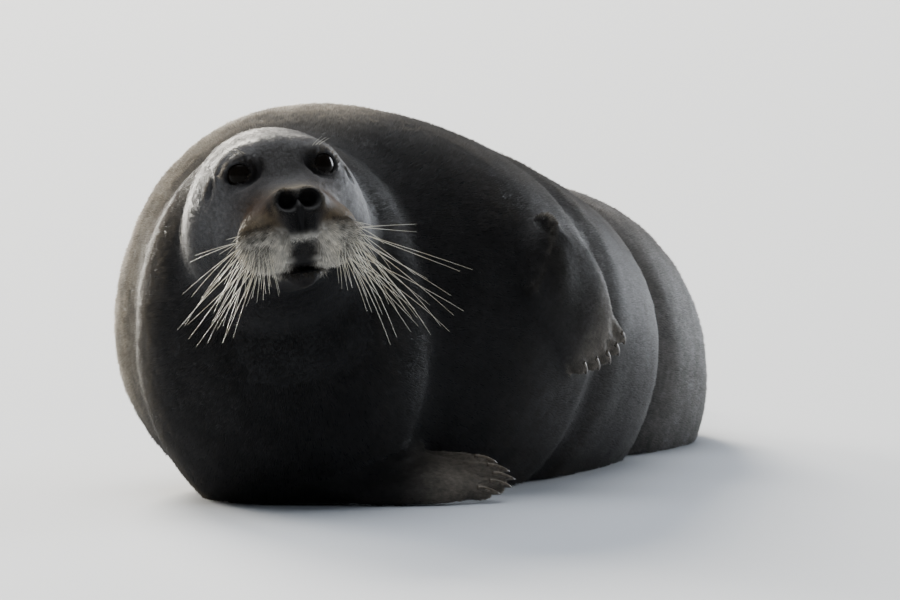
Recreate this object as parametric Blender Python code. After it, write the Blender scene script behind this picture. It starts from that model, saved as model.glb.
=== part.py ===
"""A life-size bearded seal at rest, rolled half onto its right side with its head raised.

The flesh is one soft form, built up from ellipsoids, tapered limbs and one lofted trunk that
melt into each other, then parted into its named pieces by thin cuts. Eyes and claws are set
into it as pieces of their own. Metres, Z up, the head towards -Y and the tail towards +Y.
"""

import math

import bmesh
import bpy
import numpy as np
import openvdb
from mathutils import Euler, Matrix, Vector

# ---------------------------------------------------------------- driving sizes, in metres
GRID = 0.006  # spacing of the lattice on which the soft form is first drawn
FLESH_FACES = 4700  # triangles kept in the whole flesh before it is parted
CUT_GAP = 0.0006  # width of the thin cuts between neighbours
SEAT_GAP = 0.0004  # clearance round an eye or a claw in its seat
PROFILE_STEP = 0.005
PROFILE_SOFTNESS = 0.035  # how far the stations of the trunk run into each other

# Stations down the trunk: y, centre x, centre z, half width, half height, the section's lean
# towards the seal's back in degrees, and its squareness (2 is an ellipse).
TRUNK = {
    "breast": (-0.270, -0.066, 0.165, 0.050, 0.090, 16, 2.25),
    "chest": (-0.100, -0.021, 0.200, 0.239, 0.238, 16, 2.25),
    "shoulder": (0.02, -0.008, 0.200, 0.275, 0.248, 16, 2.25),
    "ribs": (0.22, 0.047, 0.183, 0.274, 0.238, 16, 2.25),
    "belly": (0.40, 0.094, 0.152, 0.262, 0.240, 14, 2.15),
    "waist": (0.62, 0.158, 0.128, 0.230, 0.224, 8, 2.0),
    "loin": (0.86, 0.232, 0.085, 0.212, 0.244, 5, 2.0),
    "hips": (1.06, 0.276, 0.078, 0.176, 0.164, 0, 2.0),
    "pelvis": (1.26, 0.284, 0.078, 0.118, 0.102, 0, 2.0),
    "tail_root": (1.42, 0.276, 0.062, 0.066, 0.064, 0, 2.0),
    "tail_end": (1.50, 0.270, 0.050, 0.030, 0.030, 0, 2.0),
}

# The head has a frame of its own: x forward, y to the seal's left, z to its crown,
# with its origin midway between the eyes.
HEAD_AT = Vector((-0.074, -0.410, 0.385))
HEAD_YAW, HEAD_PITCH, HEAD_ROLL = math.radians(9), math.radians(8), math.radians(7)


def head_axes():
    """The rows are the head's forward, left and crown directions."""
    facing = Euler((HEAD_ROLL, -HEAD_PITCH, HEAD_YAW - math.pi / 2), "XYZ")
    return np.array(facing.to_matrix().transposed())


HEAD_AXES = head_axes()


def from_head(x, y, z):
    """A place given in the head's frame, in the model's."""
    return np.array(HEAD_AT) + np.array((x, y, z)) @ HEAD_AXES


# ---------------------------------------------------------------- soft shapes as distance fields
def ellipsoid(centre, radii, axes=np.eye(3)):
    """Signed distance, closely enough, to an ellipsoid whose own axes are the rows of axes."""
    centre, radii = np.array(centre), np.array(radii)

    def field(points):
        local = (points - centre) @ axes.T
        near = np.linalg.norm(local / radii, axis=-1)
        slope = np.linalg.norm(local / radii**2, axis=-1) + 1e-9
        return near * (near - 1) / slope

    return field, centre, max(radii)


def limb(start, end, start_radius, end_radius, flatness=1.0, across=(0, 0, 1)):
    """A round-ended taper between two points, thinned to flatness along across."""
    start, end, across = np.array(start, float), np.array(end, float), np.array(across, float)
    along = end - start
    length_squared = along @ along
    across = across - along * (across @ along) / length_squared
    across /= np.linalg.norm(across)

    def field(points):
        rest = points - start
        share = np.clip(rest @ along / length_squared, 0, 1)
        off = rest - share[..., None] * along
        off = off + (off @ across)[..., None] * across * (1 / flatness - 1)
        radius = start_radius + share * (end_radius - start_radius)
        return (np.linalg.norm(off, axis=-1) - radius) * flatness

    return field, (start + end) / 2, math.sqrt(length_squared) / 2 + max(start_radius, end_radius)


def soft_join(a, b, blend):
    """The two shapes as one, melted together where they are within blend."""
    share = np.clip(0.5 + 0.5 * (b - a) / blend, 0, 1)
    return b * (1 - share) + a * share - blend * share * (1 - share)


def profile(column):
    """One column of the trunk's stations as a smooth function of y."""
    stations = np.array(list(TRUNK.values()))
    ys = np.arange(stations[0, 0], stations[-1, 0] + PROFILE_STEP, PROFILE_STEP)
    reach = round(4 * PROFILE_SOFTNESS / PROFILE_STEP)
    weights = np.exp(-0.5 * (np.arange(-reach, reach + 1) * PROFILE_STEP / PROFILE_SOFTNESS) ** 2)
    values = np.interp(ys, stations[:, 0], stations[:, column])
    smooth = np.convolve(np.pad(values, reach, "edge"), weights / weights.sum(), "valid")
    return lambda y: np.interp(y, ys, smooth)


# Creases between rolls of blubber: where on y at floor level, depth, width, and how far each
# leans back as it climbs.
CREASES = (
    (0.150, 0.009, 0.040, 0.15),
    (0.600, 0.021, 0.050, 0.05),
    (0.985, 0.012, 0.045, -0.15),
)

# Each flipper has a frame of its own: u out to the digits' tips, v across to the first digit,
# w up from the back of the hand or foot. The rows are its origin at the wrist, u and w.
LEFT_HAND = ((0.187, -0.132, 0.293), (0.432, 0.744, -0.511), (0.870, -0.503, 0.004))
RIGHT_HAND = ((-0.106, -0.226, 0.051), (0.995, 0.050, -0.085), (0.000, -0.420, 0.906))
LEFT_FOOT = ((0.322, 1.440, 0.027), (0.080, 0.995, -0.050), (0.080, 0.000, 1.000))
RIGHT_FOOT = ((0.226, 1.440, 0.027), (-0.240, 0.970, -0.050), (-0.060, 0.000, 1.000))
TAIL_ENDS = ((0.275, 1.400, 0.104), (0.278, 1.545, 0.096))
LEFT_TIPS = (0.226, 0.250, 0.270, 0.284, 0.290)  # how far out each digit reaches
RIGHT_TIPS = (0.266, 0.280, 0.286, 0.282, 0.268)
HAND_FAN = ((-0.012, 0.040), (0.008, 0.037), 0.004)  # middle v and half width at knuckles and tips, droop
HAND_PALM = ((0.145, -0.014, -0.004), (0.108, 0.065, 0.024))  # its middle, and radii along u, v and w
HAND_WEB = 0.80  # the web's flatness, 1 as thick as it is wide
FOOT_TIPS = (0.290, 0.255, 0.235, 0.250, 0.280)
FOOT_FAN = ((0.000, 0.035), (0.000, 0.076), 0.000)
FOOT_PALM = ((0.080, 0.000, -0.002), (0.085, 0.050, 0.026))
FOOT_WEB = 0.50
WRIST = (0.070, 0.000, -0.014)  # where the arm ends
ARM_FLATNESS, WRIST_RADIUS = 0.62, 0.034
KNUCKLE = 0.055  # how far out the knuckles lie
DIGIT_RADII = (0.0150, 0.0105)  # at the knuckle and the tip
WEB_ROOT_RADIUS = 0.016
WEB_SHORT = 0.015  # how far the web stops short of the digits' tips


def trunk():
    """The lofted body: superellipses along y, their long axes leaning to the seal's back."""
    centre_x, centre_z, half_width, half_height, lean_of, squareness = map(profile, range(1, 7))
    front, back = TRUNK["breast"][0], TRUNK["tail_end"][0]

    def field(points):
        y = points[..., 1]
        x = points[..., 0] - centre_x(y)
        z = points[..., 2] - centre_z(y)
        lean, power = np.radians(lean_of(y)), squareness(y)
        wide = np.abs(x * np.cos(lean) - z * np.sin(lean)) / half_width(y)
        tall = np.abs(x * np.sin(lean) + z * np.cos(lean)) / half_height(y)
        ratio = (wide**power + tall**power) ** (1 / power) + 1e-6
        value = np.sqrt(x * x + z * z) * (1 - 1 / ratio)
        upper_side = 0.5 + 0.5 * np.tanh((x + 0.3 * z) / 0.08)
        for at, depth, width, slant in CREASES:
            off = (y - at - slant * z) / width
            value = value + depth * upper_side * np.exp(-off * off)
        return np.maximum(value, np.maximum(front - y, y - back))

    return field, np.array((0.1, 0.57, 0.2)), 2.0


def head_lump(centre, radii, turn=(0, 0, 0)):
    """An ellipsoid placed in the head's frame; turn is in degrees about the head's axes."""
    turned = np.array(Euler([math.radians(t) for t in turn], "XYZ").to_matrix()).T @ HEAD_AXES
    return ellipsoid(from_head(*centre), radii, turned)


def head_pair(centre, radii, turn=(0, 0, 0)):
    """The same lump on the head's right and left."""
    x, y, z = centre
    a, b, c = turn
    return [head_lump((x, side * y, z), radii, (side * a, b, side * c)) for side in (-1, 1)]


def head_limb(start, end, start_radius, end_radius):
    return limb(from_head(*start), from_head(*end), start_radius, end_radius)


def flipper_frame(place, side):
    """The origin and axes u, v, w; side is 1 for a left flipper and -1 for a right one."""
    origin, u, w = (np.array(row, float) for row in place)
    u /= np.linalg.norm(u)
    w -= u * (w @ u)
    w /= np.linalg.norm(w)
    return origin, np.array((u, side * np.cross(u, w), w))


def digits(tips, fan):
    """Each digit's knuckle and tip on u, v and w, from the first digit to the fifth."""
    (knuckle_v, knuckle_half), (tip_v, tip_half), droop = fan
    for number, tip in enumerate(tips):
        share = 1 - number / 2
        knuckle = (KNUCKLE, knuckle_v + knuckle_half * share, 0.0)
        yield knuckle, (tip, tip_v + tip_half * share, -droop)


def flipper(place, side, tips, fan, palm, flatness, arm):
    """Arm, palm, digits and the web between them."""
    origin, axes = flipper_frame(place, side)

    def at(u, v, w):
        return origin + np.array((u, v, w)) @ axes

    arm_place, arm_radius = arm
    lumps = [
        (limb(at(*arm_place), at(*WRIST), arm_radius, WRIST_RADIUS, ARM_FLATNESS, axes[2]), 0.040),
        (ellipsoid(at(*palm[0]), palm[1], axes), 0.030),
    ]
    bones = list(digits(tips, fan))
    for knuckle, (tip_u, tip_v, tip_w) in bones:
        bone = limb(at(*knuckle), at(tip_u - 0.010, tip_v, tip_w - 0.002), *DIGIT_RADII)
        lumps += [(bone, 0.010)]
    for (knuckle, tip), (next_knuckle, next_tip) in zip(bones, bones[1:]):
        start = at(KNUCKLE + 0.005, (knuckle[1] + next_knuckle[1]) / 2, -0.001)
        end = at(min(tip[0], next_tip[0]) - WEB_SHORT, (tip[1] + next_tip[1]) / 2, tip[2] - 0.003)
        between = abs(tip[1] - next_tip[1])
        lumps += [(limb(start, end, WEB_ROOT_RADIUS, between / 2, flatness, axes[2]), 0.008)]
    return lumps


def neck():
    """A heavy collar that lies on the floor, and the throat that lifts the head."""
    collar = ellipsoid((-0.074, -0.170, 0.185), (0.172, 0.182, 0.222))
    nape = limb((-0.078, -0.130, 0.260), (-0.086, -0.290, 0.335), 0.145, 0.096)
    return [(collar, 0.034), (nape, 0.050)]


def head():
    """Brain case, cheeks, snout, whisker pads, nose, brows and lower jaw."""
    lumps = [
        (head_lump((-0.070, 0, -0.034), (0.102, 0.092, 0.083)), 0.030),
        (head_lump((-0.100, 0, -0.070), (0.095, 0.106, 0.085)), 0.030),
        (head_limb((-0.030, 0, -0.042), (0.060, 0, -0.072), 0.066, 0.045), 0.030),
    ]
    lumps += [(lump, 0.022) for lump in head_pair((-0.026, 0.037, 0.006), (0.036, 0.026, 0.020))]
    lumps += [(lump, 0.020) for lump in head_pair((0.056, 0.034, -0.082), (0.044, 0.034, 0.035))]
    lumps += [(lump, 0.016) for lump in head_pair((0.084, 0.015, -0.052), (0.026, 0.018, 0.021))]
    lumps += [
        (head_lump((0.084, 0, -0.078), (0.024, 0.022, 0.024)), 0.010),
        (head_limb((-0.010, 0, -0.095), (0.052, 0, -0.118), 0.046, 0.022), 0.010),
    ]
    return lumps


def hollows():
    """Soft dents: the eye sockets, the nostrils, the ear holes and the groove of the lip."""
    dents = [(lump, 0.010) for lump in head_pair((0.020, 0.046, -0.003), (0.018, 0.019, 0.013))]
    dents += [(lump, 0.004) for lump in head_pair((0.110, 0.0125, -0.046), (0.014, 0.0112, 0.0105))]
    dents += [(lump, 0.004) for lump in head_pair((-0.028, 0.086, -0.010), (0.0045, 0.012, 0.011))]
    dents += [
        (head_lump((0.108, 0, -0.083), (0.010, 0.003, 0.016)), 0.010),
        (head_lump((0.100, 0, -0.112), (0.022, 0.010, 0.012)), 0.008),
    ]
    return dents


def flesh_lumps():
    """Every soft shape of the body with the blend that melts it into those before it."""
    lumps = [(trunk(), 0.0)] + neck() + head()
    hand = (HAND_FAN, HAND_PALM, HAND_WEB)
    foot = (FOOT_TIPS, FOOT_FAN, FOOT_PALM, FOOT_WEB)
    lumps += flipper(LEFT_HAND, 1, LEFT_TIPS, *hand, ((-0.005, 0.014, -0.098), 0.038))
    lumps += flipper(RIGHT_HAND, -1, RIGHT_TIPS, *hand, ((0.000, 0.030, 0.020), 0.045))
    lumps += flipper(LEFT_FOOT, 1, *foot, ((-0.130, 0, 0.030), 0.070))
    lumps += flipper(RIGHT_FOOT, -1, *foot, ((-0.130, 0, 0.030), 0.070))
    lumps += [(limb(*TAIL_ENDS, 0.036, 0.018, 0.75), 0.012)]
    return lumps


NEAR = 0.09  # a lump is worked out only this far beyond its own reach


def flesh_field(points, lumps, dents):
    """Signed distance, closely enough, to the whole body: below zero inside."""
    (field, _, _), _ = lumps[0]
    total = field(points)
    for (field, centre, reach), blend in lumps[1:]:
        near = np.linalg.norm(points - centre, axis=-1) < reach + NEAR
        total[near] = soft_join(field(points[near]), total[near], blend)
    for (field, centre, reach), blend in dents:
        near = np.linalg.norm(points - centre, axis=-1) < reach + NEAR
        total[near] = -soft_join(field(points[near]), -total[near], blend)
    return total


# ---------------------------------------------------------------- building
FLESH_BOX = ((-0.33, -0.56, -0.03), (0.52, 1.80, 0.52))
BAND = 0.05  # distances beyond this are not told apart
SLAB = 24  # lattice layers worked out at a time
SETTLING = 3  # steps that settle each corner on the true surface
PROBE = 0.0005


def flesh_surface(field):
    """Corners and quads of the field's zero surface, each corner settled onto it."""
    low, high = np.array(FLESH_BOX)
    x, y, z = (np.arange(low[i], high[i] + GRID, GRID) for i in range(3))
    values = np.empty((len(x), len(y), len(z)), np.float32)
    for start in range(0, len(y), SLAB):
        slab = np.meshgrid(x, y[start : start + SLAB], z, indexing="ij")
        values[:, start : start + SLAB] = field(np.stack(slab, -1))
    lattice = openvdb.FloatGrid(BAND)
    lattice.copyFromArray(np.clip(values, -BAND, BAND))
    corners, quads = lattice.convertToQuads()
    corners = corners.astype(float) * GRID + low
    for _ in range(SETTLING):
        slope = np.stack(
            [(field(corners + step) - field(corners - step)) / (2 * PROBE) for step in PROBE * np.eye(3)],
            -1,
        )
        steepness = np.maximum((slope * slope).sum(-1), 0.1)
        corners -= slope * (field(corners) / steepness)[:, None]
    return corners, quads


def add_object(name, mesh):
    obj = bpy.data.objects.new(name, mesh)
    bpy.context.scene.collection.objects.link(obj)
    return obj


def baked(obj):
    """The object's mesh with its modifiers applied."""
    graph = bpy.context.evaluated_depsgraph_get()
    mesh = bpy.data.meshes.new_from_object(obj.evaluated_get(graph))
    obj.modifiers.clear()
    obj.data = mesh
    return obj


def drawn_flesh():
    """The whole body as one closed mesh of FLESH_FACES triangles."""
    lumps, dents = flesh_lumps(), hollows()
    corners, quads = flesh_surface(lambda points: flesh_field(points, lumps, dents))
    mesh = bpy.data.meshes.new("flesh")
    mesh.from_pydata(corners.tolist(), [], quads.tolist())
    flesh = add_object("flesh", mesh)
    thin = flesh.modifiers.new("thin", "DECIMATE")
    thin.ratio = FLESH_FACES / (2 * len(quads))
    thin.use_collapse_triangulate = True
    return baked(flesh)


def beyond_plane(mesh, point, normal):
    """A bmesh of what lies on the normal's side of the plane, closed where it was cut."""
    half = bmesh.new()
    half.from_mesh(mesh)
    everything = half.verts[:] + half.edges[:] + half.faces[:]
    bmesh.ops.bisect_plane(
        half, geom=everything, dist=1e-6, plane_co=point, plane_no=normal, clear_inner=True
    )
    rim = [edge for edge in half.edges if edge.is_boundary]
    bmesh.ops.triangle_fill(half, edges=rim, use_beauty=True, normal=-normal)
    bmesh.ops.recalc_face_normals(half, faces=half.faces)
    return half


def part_by_plane(obj, name, point, normal):
    """Takes off what lies beyond the plane as a node of its own, a thin cut away."""
    point, normal = Vector(point), Vector(normal).normalized()
    near = beyond_plane(obj.data, point - normal * CUT_GAP / 2, -normal)
    far = beyond_plane(obj.data, point + normal * CUT_GAP / 2, normal)
    mesh = bpy.data.meshes.new(name)
    far.to_mesh(mesh)
    near.to_mesh(obj.data)
    far.free()
    near.free()
    return add_object(name, mesh)


def cut(obj, cutter, operation):
    """One exact Boolean, made final."""
    boolean = obj.modifiers.new(operation.lower(), "BOOLEAN")
    boolean.object = cutter
    boolean.operation = operation
    return baked(obj)


def block(name, low, high, origin, axes):
    """A box between two corners given in a frame of its own, kept as a cutter."""
    low, high = Vector(low), Vector(high)
    placed = Matrix.Translation(origin) @ Matrix(axes).transposed().to_4x4()
    placed = placed @ Matrix.Translation((low + high) / 2) @ Matrix.Diagonal((*(high - low), 1))
    box = bmesh.new()
    bmesh.ops.create_cube(box, size=1, matrix=placed)
    bmesh.ops.recalc_face_normals(box, faces=box.faces)
    obj = add_object(name, bpy.data.meshes.new(name))
    box.to_mesh(obj.data)
    box.free()
    obj.hide_render = True
    obj.display_type = "WIRE"
    return obj


def part_by_block(obj, name, low, high, origin, axes):
    """Takes off what lies in the block as a node of its own, a thin cut away."""
    gap = Vector((CUT_GAP, CUT_GAP, CUT_GAP))
    inner = block(name + "_cutter", low, high, origin, axes)
    outer = block(name + "_seat_cutter", Vector(low) - gap, Vector(high) + gap, origin, axes)
    piece = add_object(name, obj.data.copy())
    cut(piece, inner, "INTERSECT")
    cut(obj, outer, "DIFFERENCE")
    return piece


# ---------------------------------------------------------------- nodes
HAND_BLOCK = ((0.020, -0.085, -0.030), (0.310, 0.080, 0.050))
FOOT_BLOCK = ((0.005, -0.105, -0.060), (0.340, 0.105, 0.050))
TAIL_BLOCK = ((0.200, 1.440, 0.0705), (0.360, 1.600, 0.160))


def parted_flesh():
    """The named pieces of the body, from the drawn flesh."""
    body = drawn_flesh()
    body.name = "chest"
    above_floor = beyond_plane(body.data, Vector((0, 0, 0)), Vector((0, 0, 1)))
    above_floor.to_mesh(body.data)
    above_floor.free()
    pieces = {"chest": body}
    pieces["tail"] = part_by_block(body, "tail", *TAIL_BLOCK, Vector((0, 0, 0)), np.eye(3))
    for name, place, side, size in (
        ("foreflipper_left", LEFT_HAND, 1, HAND_BLOCK),
        ("foreflipper_right", RIGHT_HAND, -1, HAND_BLOCK),
        ("hindflipper_left", LEFT_FOOT, 1, FOOT_BLOCK),
        ("hindflipper_right", RIGHT_FOOT, -1, FOOT_BLOCK),
    ):
        pieces[name] = part_by_block(body, name, *size, *flipper_frame(place, side))
    for name, source, point, normal in (
        ("belly", "chest", (0, 0.150, 0), (0, 1, -0.15)),
        ("loin", "belly", (0, 0.600, 0), (0, 1, -0.05)),
        ("hips", "loin", (0, 0.985, 0), (0, 1, 0.15)),
        ("neck", "chest", (-0.074, -0.135, 0), (-0.348, -0.937, 0)),
        ("head", "neck", (-0.085, -0.265, 0.320), (0, -0.6, 0.8)),
        ("muzzle", "head", from_head(0.030, 0, 0), HEAD_AXES[0]),
        ("lower_jaw", "muzzle", from_head(0.080, 0, -0.113), -HEAD_AXES[2] + 0.15 * HEAD_AXES[0]),
    ):
        pieces[name] = part_by_plane(pieces[source], name, point, normal)
    return pieces


# ---------------------------------------------------------------- eyes and claws
EYE_AT = (-0.004, 0.041, -0.003)  # in the head's frame, for the left eye
EYE_RADIUS = 0.019
HAND_CLAW = (0.028, 0.0046)  # length and root radius
FOOT_CLAW = (0.026, 0.0038)
CLAW_ROOTED = 0.62  # share of a claw that lies inside its digit
CLAW_LIFT = 0.004  # how far a claw lies above its digit's middle
CLAW_HOOK = 0.005  # how far its point drops


def eyeball(name, side, extra=0.0):
    """An eye, or with extra its seat."""
    x, y, z = EYE_AT
    ball = bmesh.new()
    bmesh.ops.create_uvsphere(ball, u_segments=16, v_segments=10, radius=EYE_RADIUS + extra)
    gaze = Vector((0.8, 0.6 * side, 0.05)) @ Matrix(HEAD_AXES)
    turn = Vector((0, 0, 1)).rotation_difference(gaze).to_matrix().to_4x4()
    place = Matrix.Translation(from_head(x, side * y, z)) @ turn
    return round_object(name, ball, place)


def round_object(name, shape, place):
    """The bmesh as an object of its own, put in its place and shaded smooth."""
    bmesh.ops.transform(shape, matrix=place, verts=shape.verts)
    obj = add_object(name, bpy.data.meshes.new(name))
    shape.to_mesh(obj.data)
    shape.free()
    obj.data.shade_smooth()
    return obj


def claw(name, place, side, knuckle, tip, size, extra=0.0):
    """A claw along its digit, hooked a little downwards; with extra it is the claw's seat."""
    length, radius = size
    origin, axes = flipper_frame(place, side)
    along = (np.array(tip) - knuckle) @ axes
    along /= np.linalg.norm(along)
    across = np.cross(axes[2], along)
    across /= np.linalg.norm(across)
    upward = np.cross(along, across)
    root = origin + np.array(tip) @ axes + upward * CLAW_LIFT - along * length * CLAW_ROOTED
    horn = bmesh.new()
    bmesh.ops.create_cone(
        horn,
        cap_ends=True,
        segments=6,
        radius1=radius + extra,
        radius2=radius * 0.25 + extra,
        depth=length + 2 * extra,
        matrix=Matrix.Translation((0, 0, length / 2)),
    )
    rise = {edge: abs(edge.verts[0].co.z - edge.verts[1].co.z) for edge in horn.edges}
    long_edges = [edge for edge in horn.edges if rise[edge] > length / 2]
    bmesh.ops.subdivide_edges(horn, edges=long_edges, cuts=1, use_grid_fill=True)
    for vert in horn.verts:
        vert.co.y -= CLAW_HOOK * (vert.co.z / length) ** 2
    frame = Matrix((across, upward, along)).transposed().to_4x4()
    return round_object(name, horn, Matrix.Translation(root) @ frame)


def seat(obj, cutter):
    """Cuts the seat of an eye or a claw into the flesh that holds it."""
    cutter.hide_render = True
    cutter.display_type = "WIRE"
    cut(obj, cutter, "DIFFERENCE")


def add_eyes(pieces):
    for side, hand in ((1, "left"), (-1, "right")):
        pieces["eye_" + hand] = eyeball("eye_" + hand, side)
        seat(pieces["head"], eyeball("eye_seat_" + hand, side, SEAT_GAP))


def add_claws(pieces):
    for flesh, place, side, tips, fan, size in (
        ("foreflipper_left", LEFT_HAND, 1, LEFT_TIPS, HAND_FAN, HAND_CLAW),
        ("foreflipper_right", RIGHT_HAND, -1, RIGHT_TIPS, HAND_FAN, HAND_CLAW),
        ("hindflipper_left", LEFT_FOOT, 1, FOOT_TIPS, FOOT_FAN, FOOT_CLAW),
        ("hindflipper_right", RIGHT_FOOT, -1, FOOT_TIPS, FOOT_FAN, FOOT_CLAW),
    ):
        for number, (knuckle, tip) in enumerate(digits(tips, fan), start=1):
            name = f"claw_{flesh.replace('flipper', '')}_{number}"
            pieces[name] = claw(name, place, side, knuckle, tip, size)
            seat(pieces[flesh], claw(name + "_seat", place, side, knuckle, tip, size, SEAT_GAP))


# ---------------------------------------------------------------- materials
def material(name, colour, roughness):
    made = bpy.data.materials.new(name)
    made.use_nodes = True
    shader = made.node_tree.nodes["Principled BSDF"]
    shader.inputs["Base Color"].default_value = (*colour, 1)
    shader.inputs["Roughness"].default_value = roughness
    shader.inputs["Metallic"].default_value = 0.0
    return made


def paint(pieces):
    coat = material("coat", (0.115, 0.105, 0.095), 0.85)
    pale_coat = material("pale coat", (0.42, 0.37, 0.29), 0.80)
    eye = material("eye", (0.012, 0.010, 0.009), 0.05)
    horn = material("horn", (0.30, 0.25, 0.18), 0.45)
    for name, obj in pieces.items():
        kind = name.split("_")[0]
        chosen = {"eye": eye, "claw": horn, "muzzle": pale_coat}.get(kind, coat)
        obj.data.materials.clear()
        obj.data.materials.append(chosen)


# ---------------------------------------------------------------- the seal
def clear_scene():
    for obj in list(bpy.data.objects):
        bpy.data.objects.remove(obj)


def gather(pieces):
    """The seal in one collection and its cutters in another."""
    seal = bpy.data.collections.new("bearded_seal")
    cutters = bpy.data.collections.new("cutters")
    for collection in (seal, cutters):
        bpy.context.scene.collection.children.link(collection)
    for obj in list(bpy.context.scene.collection.objects):
        bpy.context.scene.collection.objects.unlink(obj)
        (cutters if obj.hide_render else seal).objects.link(obj)
    for name, obj in pieces.items():
        obj.name = name


def stand_on_origin(pieces):
    """Moves the seal so that the origin is under the middle of its box, on the floor."""
    corners = np.array([vert.co for obj in pieces.values() for vert in obj.data.vertices])
    middle = (corners.min(0) + corners.max(0)) / 2
    for obj in bpy.data.objects:
        obj.location = (-middle[0], -middle[1], 0)


def build_seal():
    clear_scene()
    pieces = parted_flesh()
    add_eyes(pieces)
    add_claws(pieces)
    paint(pieces)
    gather(pieces)
    stand_on_origin(pieces)


build_seal()
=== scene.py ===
import math

import bmesh
import bpy
import numpy as np
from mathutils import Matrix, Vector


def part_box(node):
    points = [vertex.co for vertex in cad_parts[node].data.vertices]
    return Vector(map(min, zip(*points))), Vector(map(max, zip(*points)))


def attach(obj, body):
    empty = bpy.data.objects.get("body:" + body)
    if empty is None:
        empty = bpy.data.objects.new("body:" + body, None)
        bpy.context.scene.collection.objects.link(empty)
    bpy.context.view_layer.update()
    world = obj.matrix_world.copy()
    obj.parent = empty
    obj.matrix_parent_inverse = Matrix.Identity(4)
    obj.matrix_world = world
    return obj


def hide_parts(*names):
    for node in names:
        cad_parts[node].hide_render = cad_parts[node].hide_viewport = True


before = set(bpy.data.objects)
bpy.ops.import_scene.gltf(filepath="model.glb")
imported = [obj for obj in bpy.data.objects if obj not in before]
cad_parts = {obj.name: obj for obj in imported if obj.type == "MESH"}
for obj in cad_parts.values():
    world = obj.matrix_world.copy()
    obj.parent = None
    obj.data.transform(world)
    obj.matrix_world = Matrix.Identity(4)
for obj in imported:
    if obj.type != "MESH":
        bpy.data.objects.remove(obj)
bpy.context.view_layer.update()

import openvdb
from mathutils import Euler, Matrix, Vector

sealBody = "root"
randomSeed = 11

# The seal's flesh is one soft form. Its trunk is lofted through these stations:
# y, centre x, centre z, half width, half height, lean towards the back in degrees, squareness.
trunkStations = {
    "breast": (-0.270, -0.066, 0.165, 0.050, 0.090, 16, 2.25),
    "chest": (-0.100, -0.021, 0.200, 0.239, 0.238, 16, 2.25),
    "shoulder": (0.02, -0.008, 0.200, 0.275, 0.248, 16, 2.25),
    "ribs": (0.22, 0.047, 0.183, 0.274, 0.238, 16, 2.25),
    "belly": (0.40, 0.094, 0.152, 0.262, 0.240, 14, 2.15),
    "waist": (0.62, 0.158, 0.128, 0.230, 0.224, 8, 2.0),
    "loin": (0.86, 0.232, 0.085, 0.212, 0.244, 5, 2.0),
    "hips": (1.06, 0.276, 0.078, 0.176, 0.164, 0, 2.0),
    "pelvis": (1.26, 0.284, 0.078, 0.118, 0.102, 0, 2.0),
    "tailRoot": (1.42, 0.276, 0.062, 0.066, 0.064, 0, 2.0),
    "tailEnd": (1.50, 0.270, 0.050, 0.030, 0.030, 0, 2.0),
}
trunkShape = {
    "step": 0.005,
    "softness": 0.035,  # how far the stations run into each other
}
# Creases between rolls of blubber: y at floor level, depth, width, slant
blubberCreases = (
    (0.150, 0.009, 0.040, 0.15),
    (0.600, 0.021, 0.050, 0.05),
    (0.985, 0.012, 0.045, -0.15),
)
# The head's own frame: x forward, y to its left, z to its crown, from midway between the eyes
headPlace = {
    "at": Vector((-0.074, -0.410, 0.385)),
    "yaw": math.radians(9),
    "pitch": math.radians(8),
    "roll": math.radians(7),
}
# A flipper's own frame: u out to the tips, v across to the first digit, w off the back of the hand
handSize = {
    "tips": (0.226, 0.250, 0.270, 0.284, 0.290),
    "fan": ((-0.012, 0.040), (0.008, 0.037), 0.004),  # middle and half width at knuckles and tips, droop
    "palm": ((0.145, -0.014, -0.004), (0.108, 0.065, 0.024)),
    "web": 0.80,
    "claw": (0.028, 0.0046),
}
rightSize = {**handSize, "tips": (0.266, 0.280, 0.286, 0.282, 0.268)}
footSize = {
    "tips": (0.290, 0.255, 0.235, 0.250, 0.280),
    "fan": ((0.000, 0.035), (0.000, 0.076), 0.000),
    "palm": ((0.080, 0.000, -0.002), (0.085, 0.050, 0.026)),
    "web": 0.50,
    "claw": (0.026, 0.0038),
}
flippers = {
    "foreLeft": {
        "place": ((0.187, -0.132, 0.293), (0.432, 0.744, -0.511), (0.870, -0.503, 0.004)),
        "side": 1, "size": handSize, "arm": (-0.005, 0.014, -0.098), "armRadius": 0.038,
    },
    "foreRight": {
        "place": ((-0.106, -0.226, 0.051), (0.995, 0.050, -0.085), (0.000, -0.420, 0.906)),
        "side": -1, "size": rightSize, "arm": (0.000, 0.030, 0.020), "armRadius": 0.045,
    },
    "hindLeft": {
        "place": ((0.322, 1.440, 0.027), (0.080, 0.995, -0.050), (0.080, 0.000, 1.000)),
        "side": 1, "size": footSize, "arm": (-0.130, 0, 0.030), "armRadius": 0.070,
    },
    "hindRight": {
        "place": ((0.226, 1.440, 0.027), (-0.240, 0.970, -0.050), (-0.060, 0.000, 1.000)),
        "side": -1, "size": footSize, "arm": (-0.130, 0, 0.030), "armRadius": 0.070,
    },
}
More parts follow.
